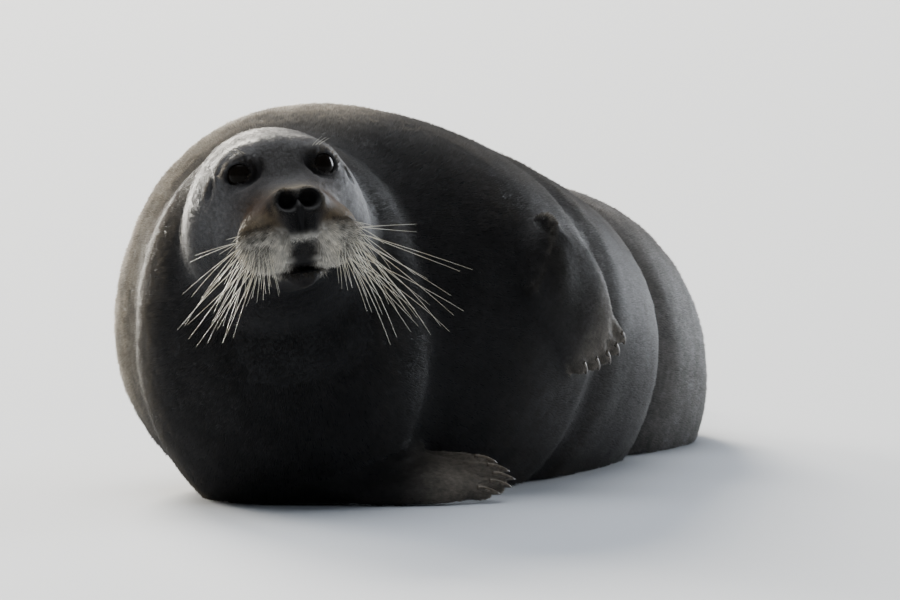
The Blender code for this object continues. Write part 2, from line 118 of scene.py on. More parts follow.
# What all four share. A melt is how far a part runs into what it grows from
flipperShape = {
    "wrist": (0.070, 0.000, -0.014),
    "wristRadius": 0.034,
    "armFlatness": 0.62,
    "knuckle": 0.055,
    "boneRadii": (0.0150, 0.0105),
    "boneEnd": (0.010, 0.000, 0.002),  # how far the bone stops short of the claw's root
    "webRoot": (0.06, 0.016),  # u and radius where a web starts
    "webShort": 0.015,  # how far the web stops short of the tips
    "melt": {"arm": 0.036, "palm": 0.026, "bone": 0.007, "web": 0.006},
}
tailShape = {
    "ends": ((0.275, 1.400, 0.104), (0.278, 1.545, 0.096)),
    "radii": (0.036, 0.018),
    "flatness": 0.75,
    "melt": 0.012,
}
eyeSet = {"at": (-0.004, 0.041, -0.003), "radius": 0.019, "cornea": 0.0006, "gaze": (0.8, 0.6, 0.05)}
padSet = {
    "at": (0.056, 0.034, -0.082),
    "radii": (0.044, 0.034, 0.035),
    "paleRadii": (0.052, 0.042, 0.043),  # of the pale coat on it
}
noseAt = (0.104, 0.0, -0.048)


def lengthOf(vectors):
    return np.linalg.norm(vectors, axis=-1)


def unit(vectors):
    return vectors / np.maximum(lengthOf(vectors)[..., None], 1e-6)


# rows: the head's forward, left and crown directions
facing = Euler((headPlace["roll"], -headPlace["pitch"], headPlace["yaw"] - math.pi / 2), "XYZ")
headTurn = np.array(facing.to_matrix().transposed())


def fromHead(place):
    return np.array(headPlace["at"]) + np.array(place) @ headTurn


def toHead(points):
    return (points - np.array(headPlace["at"])) @ headTurn.T


def folded(local):
    # the head's two halves laid over each other
    return local * (1, 0, 1) + np.abs(local) * (0, 1, 0)


def nodeMiddle(name):
    low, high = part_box(name)
    return (np.array(low) + np.array(high)) / 2


# The shapes above stand where they were drawn; this puts them into the frame's place
eyesMiddle = (nodeMiddle("eye_left") + nodeMiddle("eye_right")) / 2
x, y, z = eyeSet["at"]
shift = eyesMiddle - fromHead((x, 0, z))
shift[2] = 0
print("shift into the frame", shift.round(4))


# Soft shapes as distance fields
def ellipsoid(centre, radii, axes=np.eye(3)):
    centre, radii = np.array(centre), np.array(radii)

    def field(points):
        local = (points - centre) @ axes.T
        near = lengthOf(local / radii)
        slope = lengthOf(local / radii**2) + 1e-9
        return near * (near - 1) / slope

    return field, centre, max(radii)


def limb(start, end, startRadius, endRadius, flatness=1.0, across=(0, 0, 1)):
    # a round-ended taper, thinned to flatness along across
    start, end, across = np.array(start, float), np.array(end, float), np.array(across, float)
    along = end - start
    lengthSquared = along @ along
    across = unit(across - along * (across @ along) / lengthSquared)

    def field(points):
        rest = points - start
        share = np.clip(rest @ along / lengthSquared, 0, 1)
        off = rest - share[..., None] * along
        off = off + (off @ across)[..., None] * across * (1 / flatness - 1)
        radius = startRadius + share * (endRadius - startRadius)
        return (lengthOf(off) - radius) * flatness

    return field, (start + end) / 2, math.sqrt(lengthSquared) / 2 + max(startRadius, endRadius)


def softJoin(a, b, blend):
    share = np.clip(0.5 + 0.5 * (b - a) / blend, 0, 1)
    return b * (1 - share) + a * share - blend * share * (1 - share)


def smoothStep(value, start, end):
    share = np.clip((value - start) / (end - start), 0, 1)
    return share * share * (3 - 2 * share)


def trunkProfile(column):
    stations = np.array(list(trunkStations.values()))
    step, softness = trunkShape["step"], trunkShape["softness"]
    ys = np.arange(stations[0, 0], stations[-1, 0] + step, step)
    reach = round(4 * softness / step)
    weights = np.exp(-0.5 * (np.arange(-reach, reach + 1) * step / softness) ** 2)
    values = np.interp(ys, stations[:, 0], stations[:, column])
    smooth = np.convolve(np.pad(values, reach, "edge"), weights / weights.sum(), "valid")
    return lambda y: np.interp(y, ys, smooth)


trunkX, trunkZ, trunkWide, trunkTall, trunkLean, trunkSquareness = map(trunkProfile, range(1, 7))


def trunk():
    front, back = trunkStations["breast"][0], trunkStations["tailEnd"][0]

    def field(points):
        y = points[..., 1]
        x = points[..., 0] - trunkX(y)
        z = points[..., 2] - trunkZ(y)
        lean, power = np.radians(trunkLean(y)), trunkSquareness(y)
        wide = np.abs(x * np.cos(lean) - z * np.sin(lean)) / trunkWide(y)
        tall = np.abs(x * np.sin(lean) + z * np.cos(lean)) / trunkTall(y)
        ratio = (wide**power + tall**power) ** (1 / power) + 1e-6
        value = np.sqrt(x * x + z * z) * (1 - 1 / ratio)
        upperSide = 0.5 + 0.5 * np.tanh((x + 0.3 * z) / 0.08)
        for at, depth, width, slant in blubberCreases:
            off = (y - at - slant * z) / width
            value = value + depth * upperSide * np.exp(-off * off)
        return np.maximum(value, np.maximum(front - y, y - back))

    return field, np.array((0.1, 0.57, 0.2)), 2.0


def headLump(centre, radii, turn=(0, 0, 0)):
    # turn is in degrees about the head's own axes
    turned = np.array(Euler([math.radians(t) for t in turn], "XYZ").to_matrix()).T @ headTurn
    return ellipsoid(fromHead(centre), radii, turned)


def headPair(centre, radii, turn=(0, 0, 0)):
    x, y, z = centre
    a, b, c = turn
    return [headLump((x, side * y, z), radii, (side * a, b, side * c)) for side in (-1, 1)]


def flipperFrame(flipper):
    origin, u, w = (np.array(row, float) for row in flipper["place"])
    u = unit(u)
    w = unit(w - u * (w @ u))
    return origin, np.array((u, flipper["side"] * np.cross(u, w), w))


def digits(size):
    # each digit's knuckle and tip on u, v and w
    (knuckleV, knuckleHalf), (tipV, tipHalf), droop = size["fan"]
    for number, tip in enumerate(size["tips"]):
        share = 1 - number / 2
        knuckle = (flipperShape["knuckle"], knuckleV + knuckleHalf * share, 0.0)
        yield knuckle, (tip, tipV + tipHalf * share, -droop)


def flipperLumps(flipper):
    size = flipper["size"]
    origin, axes = flipperFrame(flipper)

    def at(u, v, w):
        return origin + np.array((u, v, w)) @ axes

    shape, melt = flipperShape, flipperShape["melt"]
    elbow, hand = at(*flipper["arm"]), at(*shape["wrist"])
    arm = limb(elbow, hand, flipper["armRadius"], shape["wristRadius"], shape["armFlatness"], axes[2])
    palmMiddle, palmRadii = size["palm"]
    lumps = [(arm, melt["arm"]), (ellipsoid(at(*palmMiddle), palmRadii, axes), melt["palm"])]
    bones = list(digits(size))
    for knuckle, tip in bones:
        end = at(*np.subtract(tip, shape["boneEnd"]))
        lumps += [(limb(at(*knuckle), end, *shape["boneRadii"]), melt["bone"])]
    webRoot, webRadius = shape["webRoot"]
    for (knuckle, tip), (nextKnuckle, nextTip) in zip(bones, bones[1:]):
        start = at(webRoot, (knuckle[1] + nextKnuckle[1]) / 2, -0.001)
        end = at(min(tip[0], nextTip[0]) - shape["webShort"], (tip[1] + nextTip[1]) / 2, tip[2] - 0.003)
        web = limb(start, end, webRadius, abs(tip[1] - nextTip[1]) / 2, size["web"], axes[2])
        lumps += [(web, melt["web"])]
    return lumps


def neckLumps():
    collar = ellipsoid((-0.074, -0.170, 0.185), (0.172, 0.182, 0.222))
    nape = limb((-0.078, -0.130, 0.260), (-0.086, -0.290, 0.335), 0.145, 0.096)
    return [(collar, 0.034), (nape, 0.050)]


# The head's forms in its own frame: blend, middle and radii, on both sides where the middle is off
# its plane, or else blend, start, end and two radii
headForms = (
    (0.030, (-0.070, 0, -0.034), (0.102, 0.092, 0.083)),  # brain case
    (0.030, (-0.100, 0, -0.070), (0.095, 0.106, 0.085)),  # cheeks
    (0.030, (-0.030, 0, -0.042), (0.060, 0, -0.072), 0.066, 0.045),  # snout
    (0.022, (-0.026, 0.037, 0.006), (0.036, 0.026, 0.020)),  # brows
    (0.020, padSet["at"], padSet["radii"]),
    (0.016, (0.084, 0.015, -0.052), (0.026, 0.018, 0.021)),  # nose
    (0.010, (0.084, 0, -0.078), (0.024, 0.022, 0.024)),  # upper lip
    (0.010, (-0.010, 0, -0.095), (0.052, 0, -0.118), 0.046, 0.022),  # lower jaw
)
headHollows = (
    (0.010, (0.020, 0.046, -0.003), (0.018, 0.019, 0.013)),  # eye sockets
    (0.004, (0.110, 0.0125, -0.046), (0.014, 0.0112, 0.0105)),  # nostrils
    (0.004, (-0.028, 0.086, -0.010), (0.0045, 0.012, 0.011)),  # ears
    (0.010, (0.108, 0, -0.083), (0.010, 0.003, 0.016)),  # the lip's groove
    (0.008, (0.100, 0, -0.112), (0.022, 0.010, 0.012)),  # the mouth's recess
)
faceDents = (
    (0.004, (0.066, 0, -0.119), (0.034, 0.024, 0.0040), (0, 8, 0)),  # the slit of the mouth
    (0.006, (0.105, 0, -0.103), (0.020, 0.0115, 0.012)),  # between the pads above it
    (0.003, (0.098, 0.0118, -0.0455), (0.022, 0.0105, 0.0100)),  # the nostrils' depths
)


def headLumps(forms):
    lumps = []
    for blend, middle, *rest in forms:
        if len(rest) == 3:
            found = [limb(fromHead(middle), fromHead(rest[0]), *rest[1:])]
        else:
            found = headPair(middle, *rest) if middle[1] else [headLump(middle, *rest)]
        lumps += [(lump, blend) for lump in found]
    return lumps


def lidForms():
    # the lids are a thin shell over each eyeball, with an almond-shaped opening in front
    shell = eyeSet["radius"] + faceDetail["lidThickness"]
    gaze = unit(np.array(eyeSet["gaze"]))
    ahead = np.array(eyeSet["at"]) + gaze * faceDetail["openingAhead"]
    turn = (faceDetail["lidTilt"], 0, math.degrees(math.atan2(gaze[1], gaze[0])))
    return ((0.007, eyeSet["at"], (shell,) * 3),), ((0.0015, ahead, faceDetail["opening"], turn),)


faceDetail = {
    "lidThickness": 0.0020,
    "openingAhead": 0.0180,
    "opening": (0.016, 0.0172, 0.0122),
    "lidTilt": -6,
    "lidFold": (0.0285, 0.0008, 0.0026),  # distance from the eye's middle, depth, width
}
floorLift = 0.0015  # the skin's underside, above the floor
nearReach = 0.09  # a lump is worked out only this far beyond its own reach
flipperParts = {name: flipperLumps(flipper) for name, flipper in flippers.items()}


def fleshLumps():
    tail = limb(*tailShape["ends"], *tailShape["radii"], tailShape["flatness"])
    lumps = [(trunk(), 0.0)] + neckLumps() + headLumps(headForms) + sum(flipperParts.values(), [])
    return lumps + [(tail, tailShape["melt"])]


allLumps, allHollows = fleshLumps(), headLumps(headHollows)
shells, openings = lidForms()
allLids, allOpenings = headLumps(shells), headLumps(openings + faceDents)


def joinedNear(points, total, lumps, sign):
    for (field, centre, reach), blend in lumps:
        near = lengthOf(points - centre) < reach + nearReach
        total[near] = sign * softJoin(field(points[near]), sign * total[near], blend)
    return total


def fleshField(points):
    # signed distance, closely enough, to the frame's flesh
    (field, _, _), _ = allLumps[0]
    total = joinedNear(points, field(points), allLumps[1:], 1)
    return joinedNear(points, total, allHollows, -1)


def faceWeight(points):
    # 1 on the face, 0 behind the ears
    close = lengthOf(points - fromHead((0, 0, -0.05))) < 0.24
    return smoothStep(toHead(points)[..., 0], -0.13, 0.02) * close


def onFlipper(points, name, start, end):
    # 1 on the hand or foot beyond u = end, 0 before u = start and off the flipper
    origin, axes = flipperFrame(flippers[name])
    away = joinedNear(points, np.full(points.shape[:-1], nearReach), flipperParts[name], 1)
    u = (points - origin) @ axes[0]
    return smoothStep(away, 0.011, 0.003) * smoothStep(u, start, end)


def flipperWeight(points):
    return np.maximum.reduce([onFlipper(points, name, -0.01, 0.07) for name in flippers])


coatDepth = {"body": 0.0055, "face": 0.0022, "flipper": 0.0028}


def skinDepth(points):
    depth = coatDepth["body"] + faceWeight(points) * (coatDepth["face"] - coatDepth["body"])
    return depth + flipperWeight(points) * (coatDepth["flipper"] - coatDepth["body"])


def eyeRings(points):
    # a shallow fold round each eye
    distance, depth, width = faceDetail["lidFold"]
    total = np.zeros(points.shape[:-1])
    x, y, z = eyeSet["at"]
    for side in (-1, 1):
        off = lengthOf(points - fromHead((x, side * y, z))) - distance
        total += depth * np.exp(-((off / width) ** 2))
    return total


def skinField(points):
    total = fleshField(points) + skinDepth(points)
    total = joinedNear(points, total, allLids, 1)
    total = joinedNear(points, total, allOpenings, -1)
    total += eyeRings(points)
    return -softJoin(points[..., 2] - floorLift, -total, 0.006)


# The skin's mesh
skinSize = {
    "box": ((-0.34, -0.57, -0.03), (0.53, 1.81, 0.52)),
    "grid": 0.0086,
    "band": 0.05,
    "slab": 24,  # rows of the grid worked out at a time
    "settling": 3,
    "probe": 0.0004,
    "farthestStep": 0.004,
    "onFlipper": 0.2,  # the flippers' weight beyond which their skin is refined
}


def settled(field, corners, steps):
    # moves the corners onto the surface, along its slope
    probe = skinSize["probe"]
    for _ in range(steps):
        rises = [field(corners + step) - field(corners - step) for step in probe * np.eye(3)]
        slope = np.stack([rise / (2 * probe) for rise in rises], -1)
        steepness = np.maximum((slope * slope).sum(-1), 0.1)
        step = slope * (field(corners) / steepness)[:, None]
        length = np.maximum(lengthOf(step)[:, None], 1e-9)
        corners = corners - step * np.minimum(1, skinSize["farthestStep"] / length)
    return corners


def firstSurface():
    low, high = np.array(skinSize["box"])
    grid, band, slabSize = skinSize["grid"], skinSize["band"], skinSize["slab"]
    x, y, z = (np.arange(low[i], high[i] + grid, grid) for i in range(3))
    values = np.empty((len(x), len(y), len(z)), np.float32)
    for start in range(0, len(y), slabSize):
        slab = np.meshgrid(x, y[start : start + slabSize], z, indexing="ij")
        values[:, start : start + slabSize] = skinField(np.stack(slab, -1))
    lattice = openvdb.FloatGrid(band)
    lattice.copyFromArray(np.clip(values, -band, band))
    corners, quads = lattice.convertToQuads()
    return settled(skinField, corners.astype(float) * grid + low, skinSize["settling"]), quads


def refine(shape, wanted):
    # splits the faces whose middle is wanted, then settles the new corners
    middles = np.array([face.calc_center_median()[:] for face in shape.faces])
    chosen = wanted(middles)
    edges = {edge for face, take in zip(shape.faces, chosen) if take for edge in face.edges}
    before = len(shape.verts)
    bmesh.ops.subdivide_edges(shape, edges=list(edges), cuts=1, use_grid_fill=True)
    shape.verts.ensure_lookup_table()
    fresh = shape.verts[before:]
    corners = settled(skinField, np.array([vert.co[:] for vert in fresh]), skinSize["settling"])
    for vert, corner in zip(fresh, corners):
        vert.co = corner


def onHead(points):
    return toHead(points)[:, 0] > -0.10


def onFace(points):
    local = toHead(points)
    return (local[:, 0] > -0.03) & (lengthOf(local - (0.05, 0, -0.05)) < 0.105)


def onFeatures(points):
    # eyes, nose and mouth
    local = toHead(points)
    x, y, z = eyeSet["at"]
    byEye = lengthOf(np.abs(local) - (abs(x) + 0.012, y + 0.006, abs(z))) < 0.024
    byNose = lengthOf(local - noseAt) < 0.030
    byMouth = (np.abs(local[:, 1]) < 0.030) & (local[:, 0] > 0.05) & (local[:, 2] < -0.085)
    return byEye | byNose | byMouth


def onAnyFlipper(points):
    return flipperWeight(points) > skinSize["onFlipper"]


def meshOf(shape, mesh):
    shape.to_mesh(mesh)
    shape.free()
    mesh.shade_smooth()
    return mesh


def makeSkin():
    corners, quads = firstSurface()
    mesh = bpy.data.meshes.new("skin")
    mesh.from_pydata(corners.tolist(), [], quads.tolist())
    shape = bmesh.new()
    shape.from_mesh(mesh)
    refine(shape, lambda points: onHead(points) | onAnyFlipper(points))
    refine(shape, onFace)
    refine(shape, onFeatures)
    bmesh.ops.recalc_face_normals(shape, faces=shape.faces)
    return meshOf(shape, mesh)


# Coat colours, worked out where the shapes above were drawn. The dark front and the pale back are partly
# painted shade and painted sunlight
tones = {
    # the coat's own dark brown-grey, kept darker as painted shade on the chest and the front of the flanks
    "body": (0.036, 0.033, 0.032),
    # the pale back: partly the coat's own paler back, partly painted sunlight from behind
    "back": (0.430, 0.376, 0.296),
    # greyer on the loin and hips; part of the step from the darker front is painted light and shade
    "rump": (0.165, 0.156, 0.147),
    # painted shade on the throat, the chest and the underside
    "throatShade": (0.018, 0.017, 0.017),
    "head": (0.105, 0.102, 0.102),
    "browPatch": (0.008, 0.006, 0.005),
    # the dark bare lids round the eyes; the same tone is painted shade in the ear holes
    "darkLidsAndEarShade": (0.008, 0.006, 0.006),
    "rust": (0.070, 0.040, 0.020),
    "noseRim": (0.270, 0.215, 0.140),
    # the nose's dark bare skin; the same tone is painted shade in the nostrils and the slit of the mouth
    "darkLeatherAndShade": (0.009, 0.008, 0.008),
    "pad": (0.700, 0.660, 0.580),
    "padTop": (0.125, 0.092, 0.054),
    # painted shade in the recess between the pads over the mouth
    "recessShade": (0.024, 0.021, 0.019),
    # painted shade on the chin, under the mouth
    "chinShade": (0.016, 0.014, 0.014),
    "digit": (0.170, 0.150, 0.125),
}
# Where the tones run over into each other, along the trunk's y unless a note says otherwise
toneFades = {
    "backwards": (-0.80, 0.60),  # from the trunk's middle to the middle of the back, in x and z
    "dorsal": (0.30, 0.70),  # shares of the turn from the flank to the middle of the back
    "rump": (0.30, 0.80),
    "backStart": (-0.30, 0.0),
    "backEnd": (1.35, 1.05),
    # y, from where the painted shade of the throat and chest begins to where it is full
    "throatShade": (0.05, -0.15),
    "shadeBelow": (0.52, 0.39),  # z, from where the painted shade under the head and chest begins to where it is full
    "rightSide": (-0.25, -0.10),  # x; at lower x, on the seal's right flank, which the light from behind reaches, the painted shade is weaker
    "headBack": (-0.15, -0.03),  # the head's x
    "headBelow": (-0.118, -0.050),  # the head's z
    "padTop": (-0.048, -0.064),  # the head's z
    "pad": (-0.070, -0.084),
    "digit": (0.15, 0.24),  # the flipper's u
}
# Marks on the head: tone, strength, middle, radii. The lower and upper marks are on both its sides,
# under and over the whisker pads' own tones
# Some marks are painted shade: in the ear holes, the nostrils, the slit of the mouth, the recess over it
# and the chin under it
browPatch = ("browPatch", 2.6, (0.030, -0.003, 0.006), (0.05, 0.022, 0.022))
lowerMarks = (
    ("darkLidsAndEarShade", 3.0, (0.0145, 0.043, -0.002), (0.03, 0.0152, 0.0108)),
    # painted shade in the ear holes
    ("darkLidsAndEarShade", 3.4, (-0.028, 0.086, -0.010), (0.005, 0.03, 0.010)),
    ("rust", 1.6, (0.078, 0.040, -0.051), (0.050, 0.027, 0.024)),
    ("noseRim", 1.3, (0.092, 0.010, -0.030), (0.03, 0.022, 0.006)),
    ("browPatch", 0.9, (0.094, 0.0325, -0.052), (0.03, 0.0028, 0.011)),
    ("noseRim", 1.0, (0.098, 0.0268, -0.053), (0.03, 0.0030, 0.008)),
)
upperMarks = (
    ("darkLeatherAndShade", 2.6, (0.106, 0, -0.066), (0.03, 0.015, 0.018)),
    # dark skin of the nostrils, with painted shade in their openings
    ("darkLeatherAndShade", 2.6, (0.106, 0.0125, -0.047), (0.03, 0.0135, 0.0125)),
    ("pad", 1.2, (0.1, 0, -0.088), (0.03, 0.018, 0.0040)),
    # painted shade in the recess between the pads over the mouth
    ("recessShade", 1.8, (0.090, 0, -0.104), (0.026, 0.014, 0.012)),
    # painted shade in the slit of the mouth
    ("darkLeatherAndShade", 1.8, (0.066, 0, -0.119), (0.045, 0.024, 0.0045)),
    # painted shade on the chin, under the mouth
    ("chinShade", 1.6, (0.060, 0, -0.136), (0.04, 0.034, 0.014)),
)
follicleRing = {"width": 0.0034, "strength": 0.88}
underCoatShade = 0.65  # the skin between the tufts is darker than their tips, partly as painted shade under the coat


def blob(local, centre, radii):
    off = (local - np.array(centre)) / np.array(radii)
    return np.exp(-(off * off).sum(-1))


def mixTone(base, name, weight):
    return base + (np.array(tones[name]) - base) * np.clip(weight, 0, 1)[..., None]


def marked(tone, mirrored, marks):
    for name, strength, middle, radii in marks:
        tone = mixTone(tone, name, strength * blob(mirrored, middle, radii))
    return tone


def onPad(local, start, end):
    # 1 on the whisker pads
    inside = 1 - lengthOf((folded(local) - padSet["at"]) / padSet["paleRadii"])
    return smoothStep(inside, start, end)


def follicleShade(points):
    # a dark ring of skin round each whisker's root
    shade = np.ones(len(points))
    near = np.nonzero(np.abs(toHead(points) - (0.05, 0, -0.082)).max(1) < 0.085)[0]
    closest = np.full(len(near), np.inf)
    for root in whiskerRoots:
        closest = np.minimum(closest, ((points[near] - root) ** 2).sum(1))
    shade[near] = 1 - follicleRing["strength"] * np.exp(-closest / follicleRing["width"] ** 2)
    return shade


def trunkTurn(points):
    # 1 along the middle of the back, which is rolled to the seal's right, and -1 along the belly
    y = points[:, 1]
    away = unit(np.stack([points[:, 0] - trunkX(y), points[:, 2] - trunkZ(y)], 1))
    return away @ np.array(toneFades["backwards"])


def coatTone(points):
    local = toHead(points)
    mirrored = folded(local)
    x, y, z = points.T

    def fade(value, name):
        return smoothStep(value, *toneFades[name])

    # the dark base tone, partly painted shade
    tone = np.tile(np.array(tones["body"]), (len(points), 1))
    tone = mixTone(tone, "rump", fade(y, "rump"))
    # the pale back, partly painted sunlight from behind
    dorsal = fade(trunkTurn(points), "dorsal") * (fade(y, "backStart") * fade(y, "backEnd"))
    tone = mixTone(tone, "back", dorsal)
    # painted shade under the head, on the throat and chest, weaker on the seal's right flank where the
    # light reaches
    shadeBelowShare = fade(z, "shadeBelow") * (0.3 + 0.7 * fade(x, "rightSide"))
    tone = mixTone(tone, "throatShade", shadeBelowShare * fade(y, "throatShade"))
    headness = fade(local[:, 0], "headBack") * fade(local[:, 2], "headBelow")
    tone = mixTone(tone, "head", headness * (lengthOf(local) < 0.25))
    # the dark patch between the brows lies a little to the head's right
    tone = marked(tone, local, (browPatch,))
    tone = marked(tone, mirrored, lowerMarks)
    for name in ("padTop", "pad"):
        tone = mixTone(tone, name, onPad(local, -0.05, 0.12) * fade(local[:, 2], name))
    tone *= follicleShade(points)[:, None]
    tone = marked(tone, mirrored, upperMarks)
    for name in flippers:
        tone = mixTone(tone, "digit", onFlipper(points, name, *toneFades["digit"]))
    return tone


# Node materials
def newMaterial(name, values):
    # values go straight onto the shader's own sockets
    made = bpy.data.materials.new(name)
    made.use_nodes = True
    shader = made.node_tree.nodes["Principled BSDF"]
    for socket, value in values.items():
        shader.inputs[socket].default_value = value
    return made, made.node_tree, shader


def addNode(tree, kind, place, values=(), **settings):
    node = tree.nodes.new(kind)
    node.location = place
    for key, value in settings.items():
        setattr(node, key, value)
    for socket, value in dict(values).items():
        node.inputs[socket].default_value = value
    return node


def addNoise(tree, place, scale, detail):
    # noise on the object's own coordinates
    x, y = place
    coordinates = addNode(tree, "ShaderNodeTexCoord", (x - 200, y))
    noise = addNode(tree, "ShaderNodeTexNoise", place, {"Scale": scale, "Detail": detail})
    tree.links.new(coordinates.outputs["Object"], noise.inputs["Vector"])
    return noise.outputs["Fac"]


def addBump(tree, height, shader, strength, distance):
    bump = addNode(tree, "ShaderNodeBump", (-300, -400), {"Strength": strength, "Distance": distance})
    tree.links.new(height, bump.inputs["Height"])
    tree.links.new(bump.outputs["Normal"], shader.inputs["Normal"])


# The coat's soft spots and its fine grain: scale, detail, depth
coatMottle = ((22.0, 4.0, 0.22), (160.0, 2.0, 0.18))
furThrough = {"share": 0.42, "pale": (0.80, 0.70, 0.54, 1), "paleShare": 0.20}  # light through a tuft


def mottledColour(tree):
    # the coat's own colour, broken up by spots and grain that skin and tufts share
    links = tree.links
    colour = addNode(tree, "ShaderNodeAttribute", (-1200, 300), attribute_name="coatColour")
    both = addNode(tree, "ShaderNodeMath", (-600, 0), operation="MULTIPLY")
    for number, (scale, detail, depth) in enumerate(coatMottle):
        ends = {"From Min": 0.35, "From Max": 0.65, "To Min": 1 - depth, "To Max": 1 + depth}
        mapped = addNode(tree, "ShaderNodeMapRange", (-800, -250 * number), ends)
        links.new(addNoise(tree, (-1000, -250 * number), scale, detail), mapped.inputs["Value"])
        links.new(mapped.outputs["Result"], both.inputs[number])
    scaled = addNode(tree, "ShaderNodeVectorMath", (-400, 200), operation="SCALE")
    links.new(colour.outputs["Color"], scaled.inputs[0])
    links.new(both.outputs["Value"], scaled.inputs["Scale"])
    return scaled.outputs["Vector"]


def skinMaterial():
    made, tree, shader = newMaterial("seal skin", {
        "Roughness": 0.62, "Specular IOR Level": 0.20, "Sheen Weight": 0.06, "Sheen Roughness": 0.4,
    })
    tree.links.new(mottledColour(tree), shader.inputs["Base Color"])
    addBump(tree, addNoise(tree, (-600, -450), 420.0, 3.0), shader, 0.35, 0.001)
    return made


def furMaterial():
    made, tree, shader = newMaterial("short fur", {
        "Roughness": 0.55, "Specular IOR Level": 0.25, "Sheen Weight": 0.12, "Sheen Roughness": 0.35,
    })
    colour = mottledColour(tree)
    # light from behind comes through the thin blades, paler than their own colour
    through = addNode(tree, "ShaderNodeBsdfTranslucent", (0, -300))
    both = addNode(tree, "ShaderNodeMixShader", (300, 0), {"Fac": furThrough["share"]})
    paler = addNode(tree, "ShaderNodeMix", (-250, -300), data_type="RGBA")
    paler.inputs[0].default_value = furThrough["paleShare"]
    paler.inputs[7].default_value = furThrough["pale"]
    for source, target in (
        (colour, shader.inputs["Base Color"]),
        (colour, paler.inputs[6]),
        (paler.outputs[2], through.inputs["Color"]),
        (shader.outputs["BSDF"], both.inputs[1]),
        (through.outputs["BSDF"], both.inputs[2]),
        (both.outputs["Shader"], tree.nodes["Material Output"].inputs["Surface"]),
    ):
        tree.links.new(source, target)
    return made


# Eyes, claws and whiskers: noise scale and detail, ramp ends, bump, and the shader's own values
smoothLooks = {
    "wet eye": {
        "noise": (300.0, 2.0),
        "ends": ((0.0, (0.002, 0.0015, 0.001)), (1.0, (0.009, 0.006, 0.004))),
        "shader": {"Roughness": 0.18, "Specular IOR Level": 0.05},
    },
    "worn horn": {
        "noise": (260.0, 5.0),
        "ends": ((0.3, (0.030, 0.022, 0.015)), (0.75, (0.170, 0.135, 0.095))),
        "bump": (0.3, 0.0005),
        "shader": {"Roughness": 0.42},
    },
    "whisker horn": {
        "noise": (60.0, 2.0),
        "ends": ((0.35, (0.62, 0.55, 0.40)), (0.65, (0.86, 0.82, 0.70))),
        "shader": {"Roughness": 0.35, "Specular IOR Level": 0.6},
    },
}


def smoothMaterial(name):
    look = smoothLooks[name]
    made, tree, shader = newMaterial(name, look["shader"])
    noise = addNoise(tree, (-700, 0), *look["noise"])
    ramp = addNode(tree, "ShaderNodeValToRGB", (-450, 0))
    for element, (position, tone) in zip(ramp.color_ramp.elements, look["ends"]):
        element.position = position
        element.color = (*tone, 1)
    tree.links.new(noise, ramp.inputs["Fac"])
    tree.links.new(ramp.outputs["Color"], shader.inputs["Base Color"])
    if "bump" in look:
        addBump(tree, noise, shader, *look["bump"])
    return made


# Placing pieces
def addToScene(name, data):
    made = bpy.data.objects.new(name, data)
    bpy.context.scene.collection.objects.link(made)
    return made


def addPiece(name, mesh, material, replaced=()):
    mesh.materials.clear()
    mesh.materials.append(material)
    piece = addToScene(name, mesh)
    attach(piece, sealBody)
    if replaced:
        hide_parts(*replaced)
    return piece


# The lie of the coat
def softNoise(points, size, seed):
    # smooth random values between 0 and 1, about size across
    cell = points / size
    base = np.floor(cell).astype(np.int64)
    part = cell - base
    part = part * part * (3 - 2 * part)
    total = np.zeros(len(points))
    for corner in range(8):
        offset = np.array([corner & 1, corner >> 1 & 1, corner >> 2 & 1])
        key = ((base + offset) * (73856093, 19349663, 83492791)).sum(1) + seed * 2654435761
        key = (key ^ (key >> 13)) * 1274126177 & 0xFFFFFFFF
        weight = np.where(offset == 1, part, 1 - part).prod(1)
        total += weight * ((key ^ (key >> 16)) & 0xFFFF) / 65535
    return total


coatLie = {
    "nose": (0.115, 0, -0.050),  # where it starts, in the head's frame
    "headToTrunk": (-0.36, -0.12),
    "down": -0.25,
    "fan": (2.0, 0.4),  # how fast it spreads across a flipper, and how far
    "swirl": (0.05, 0.5),  # size and strength
}


def lieOfCoat(points, normals):
    # back from the nose over the head, down the trunk, and out along each flipper
    fromNose = unit(points - fromHead(coatLie["nose"]))
    y = points[:, 1]
    slopeX = (trunkX(y + 0.02) - trunkX(y - 0.02)) / 0.04
    trunkLie = unit(np.stack([slopeX, np.ones_like(y), np.full_like(y, coatLie["down"])], 1))
    share = smoothStep(y, *coatLie["headToTrunk"])[:, None]
    lie = fromNose * (1 - share) + trunkLie * share
    spread, widest = coatLie["fan"]
    for name, flipper in flippers.items():
        origin, axes = flipperFrame(flipper)
        local = (points - origin) @ axes.T
        weight = onFlipper(points, name, -0.06, 0.03)[:, None]
        fan = axes[0] + np.clip(local[:, 1:2] * spread, -widest, widest) * axes[1]
        lie = lie * (1 - weight) + fan * weight
    size, strength = coatLie["swirl"]
    swirl = (softNoise(points, size, 3)[:, None] - 0.5) * strength
    lie = lie + swirl * np.cross(normals, lie)
    return unit(lie - normals * (lie * normals).sum(1, keepdims=True))


# The coat: short tufts of three blades, each blade a thin ridged kite
tuftShape = {
    "blades": ((-0.9, -0.14, 0.86), (0.05, 0.02, 1.0), (0.95, 0.16, 0.78)),  # offset, turn, length
    "widest": 0.42,
    "lift": 0.24,  # rise of a blade's tip over its length
    "ridge": 0.30,
    "sunk": 0.0004,  # how far the roots stand in the skin
    "clumping": 0.5,
    "scatter": {"length": 0.4, "rise": 0.8, "turn": 0.5, "bladeTurn": 0.2},
    "shades": (0.60, 0.95, 1.40, 0.95),  # root, one edge, tip, other edge: the paler tip is the hair's own paler end, the darker root partly painted shade deep in the coat
    "patch": 0.003,
    "floorClear": 0.0006,
}
